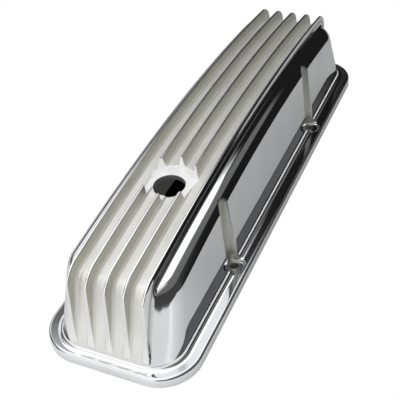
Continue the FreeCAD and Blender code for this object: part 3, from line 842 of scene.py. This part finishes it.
patches = {
    "ceiling": {"x": (-1.4, -1.2, 0.70, 0.84), "y": (-0.16, -0.04, 1.2, 1.4), "z": (0.70, 0.81, 1.2, 1.4),
                "level": 1.55},
    "rim": {"x": (-1.4, -1.2, 0.70, 0.84), "y": (-0.34, -0.22, 1.2, 1.4), "z": (0.750, 0.772, 1.2, 1.4),
            "level": 1.45},
    "behind": {"x": (-1.4, -1.2, -0.15, 0.25), "y": (-0.6, -0.3, 1.2, 1.4), "z": (0.42, 0.62, 1.2, 1.4),
               "level": 1.0},
    "side": {"x": (-1.4, -1.2, 0.78, 0.84), "y": (-1.4, -1.2, -0.28, -0.12), "z": (0.37, 0.46, 1.2, 1.4),
             "level": 0.15},
    "low": {"x": (-1.4, -1.2, -0.75, -0.5), "y": (-0.25, 0.0, 1.2, 1.4), "z": (-0.2, 0.0, 1.2, 1.4),
            "level": 1.15},
    "back": {"x": (-1.4, -1.2, 1.2, 1.4), "y": (0.18, 0.30, 1.2, 1.4), "z": (0.12, 0.30, 1.2, 1.4),
             "level": 0.14},
    "left": {"x": (0.0, 0.3, 1.2, 1.4), "y": (0.48, 0.66, 1.2, 1.4), "z": (0.1, 0.3, 1.2, 1.4),
             "level": 1.0},
    "near": {"x": (-1.4, -1.2, 0.42, 0.62), "y": (-1.4, -1.2, 1.2, 1.4), "z": (-1.4, -1.2, 1.2, 1.4),
             "level": 0.045},
}


def openBelow(tree, surface):
    # seen from above it's solid; from below, and for the plain light on matt things, it isn't there, so
    # that the hollow and the gasket face can be looked at and get light
    nodes = tree.nodes
    path = nodes.new("ShaderNodeLightPath")
    gone = nodes.new("ShaderNodeNewGeometry").outputs["Backfacing"]
    for title in ("Is Diffuse Ray", "Is Shadow Ray"):
        gone = combine(tree, "MAXIMUM", gone, path.outputs[title])
    clear = nodes.new("ShaderNodeBsdfTransparent")
    blend = nodes.new("ShaderNodeMixShader")
    link(tree, gone, blend.inputs[0])
    link(tree, surface, blend.inputs[1])
    link(tree, clear.outputs[0], blend.inputs[2])
    link(tree, blend.outputs[0], nodes["Material Output"].inputs["Surface"])


def mattPlate(name, outline, level, finish):
    # one flat face inside an outline in metres, just under the cover, with a matt material of its own
    mesh = bpy.data.meshes.new(name)
    mesh.from_pydata([(x, y, level * mm) for x, y in outline], [], [tuple(range(len(outline)))])
    plate = bpy.data.objects.new(name, mesh)
    bpy.context.collection.objects.link(plate)
    material = bpy.data.materials.new(finish)
    material.use_nodes = True
    mesh.materials.append(material)
    matt = material.node_tree.nodes["Principled BSDF"]
    matt.inputs["Roughness"].default_value = studio["roughness"]
    matt.inputs["Specular IOR Level"].default_value = 0.0
    return plate, material.node_tree, matt


def buildShade():
    # painted shade: a dark patch on the table under the hollow, standing in for the shade where no light
    # comes
    shade, tree, matt = mattPlate("hollowShade", studio["shade"], studio["shadeLevel"], "paintedHollowShade")
    tone = studio["shadeTone"]
    matt.inputs["Base Color"].default_value = (tone, tone, tone, 1)
    openBelow(tree, matt.outputs[0])


def buildSheet():
    # flat sheet of paper under the cover, which the camera sees nearly white all over
    # its grey runs along x through the tones above, as light falls off along the table
    sheet, tree, paper = mattPlate("paperSheet", studio["sheet"], studio["sheetLevel"], "whitePaper")
    nodes = tree.nodes
    place = nodes.new("ShaderNodeTexCoord")
    parts = nodes.new("ShaderNodeSeparateXYZ")
    link(tree, place.outputs["Object"], parts.inputs[0])
    along = nodes.new("ShaderNodeMapRange")
    tones = studio["paperTones"]
    low, high = tones[0][0], tones[-1][0]
    along.inputs["From Min"].default_value = low
    along.inputs["From Max"].default_value = high
    link(tree, parts.outputs["X"], along.inputs["Value"])
    ramp = nodes.new("ShaderNodeValToRGB")
    for index, (x, tone) in enumerate(tones):
        spot = (x - low) / (high - low)
        if index == 0:
            made = ramp.color_ramp.elements[0]
        elif index == len(tones) - 1:
            made = ramp.color_ramp.elements[-1]
        else:
            made = ramp.color_ramp.elements.new(spot)
        made.position = spot
        made.color = (tone, tone, tone, 1)
    link(tree, along.outputs["Result"], ramp.inputs["Fac"])
    link(tree, ramp.outputs["Color"], paper.inputs["Base Color"])
    white = nodes.new("ShaderNodeEmission")
    white.inputs["Strength"].default_value = studio["glow"]
    path = nodes.new("ShaderNodeLightPath")
    seen = combine(tree, "MULTIPLY", path.outputs["Is Camera Ray"], studio["glowShare"])
    blend = nodes.new("ShaderNodeMixShader")
    link(tree, seen, blend.inputs[0])
    link(tree, paper.outputs[0], blend.inputs[1])
    link(tree, white.outputs[0], blend.inputs[2])
    openBelow(tree, blend.outputs[0])


def buildWorld():
    # white to the camera and plain light for matt things; metal sees a dark room and its patches of light
    # a patch is its level times six smooth steps, up and down again along x, y and z, and where patches
    # meet the brighter one counts
    world = bpy.data.worlds.new("studioRoom")
    bpy.context.scene.world = world
    world.use_nodes = True
    tree = world.node_tree
    nodes = tree.nodes
    nodes.clear()
    result = nodes.new("ShaderNodeOutputWorld")
    place = nodes.new("ShaderNodeTexCoord")
    parts = nodes.new("ShaderNodeSeparateXYZ")
    link(tree, place.outputs["Generated"], parts.inputs[0])

    def step(value, start, end, first, last):
        made = nodes.new("ShaderNodeMapRange")
        made.interpolation_type = "SMOOTHSTEP"
        for title, number in (("From Min", start), ("From Max", end), ("To Min", first), ("To Max", last)):
            made.inputs[title].default_value = number
        link(tree, value, made.inputs["Value"])
        return made.outputs["Result"]

    def background(strength):
        made = nodes.new("ShaderNodeBackground")
        made.inputs["Color"].default_value = (1, 1, 1, 1)
        made.inputs["Strength"].default_value = strength
        return made

    def mix(share, first, second):
        made = nodes.new("ShaderNodeMixShader")
        link(tree, share, made.inputs[0])
        link(tree, first.outputs[0], made.inputs[1])
        link(tree, second.outputs[0], made.inputs[2])
        return made

    lights = 0.0
    for patch in patches.values():
        shape = patch["level"]
        for axis in ("x", "y", "z"):
            low, lowFull, highFull, high = patch[axis]
            value = parts.outputs[axis.upper()]
            for piece in (step(value, low, lowFull, 0.0, 1.0), step(value, highFull, high, 1.0, 0.0)):
                shape = combine(tree, "MULTIPLY", piece, shape)
        lights = combine(tree, "MAXIMUM", shape, lights)
    total = combine(tree, "ADD", lights, studio["dark"])
    path = nodes.new("ShaderNodeLightPath")
    room = background(0.0)
    link(tree, total, room.inputs["Strength"])
    room = mix(path.outputs["Is Diffuse Ray"], room, background(studio["level"]))
    room = mix(path.outputs["Is Camera Ray"], room, background(1.0))
    link(tree, room.outputs[0], result.inputs["Surface"])


# The camera as fitted to the photograph: its place in metres, the directions of the picture's right and
# down, its lens and how far the picture is shifted.
view = {
    "place": (-0.51685359, -0.23913962, 0.46412706),
    "right": (0.39928727, -0.91333257, -0.07995808),
    "down": (-0.61426871, -0.20175806, -0.76286803),
    "lens": 71.352,
    "shift": (0.00798, -0.00283),
}


def buildCamera():
    # a camera looks along its own minus z, so it looks ahead along right times down
    lens = bpy.data.cameras.new("photoLens")
    lens.sensor_fit = "HORIZONTAL"
    lens.sensor_width = 36.0
    lens.lens = view["lens"]
    lens.shift_x, lens.shift_y = view["shift"]
    lens.clip_start = 0.01
    lens.clip_end = 20.0
    camera = bpy.data.objects.new("photoCamera", lens)
    bpy.context.collection.objects.link(camera)
    right, down = np.array(view["right"]), np.array(view["down"])
    matrix = np.eye(4)
    matrix[:3, 0] = right
    matrix[:3, 1] = -down
    matrix[:3, 2] = -np.cross(right, down)
    matrix[:3, 3] = view["place"]
    camera.matrix_world = Matrix(matrix.tolist())
    bpy.context.scene.camera = camera


buildSheet()
buildShade()
buildWorld()
buildCamera()
bpy.context.scene.view_settings.view_transform = "Standard"
print("studio built")
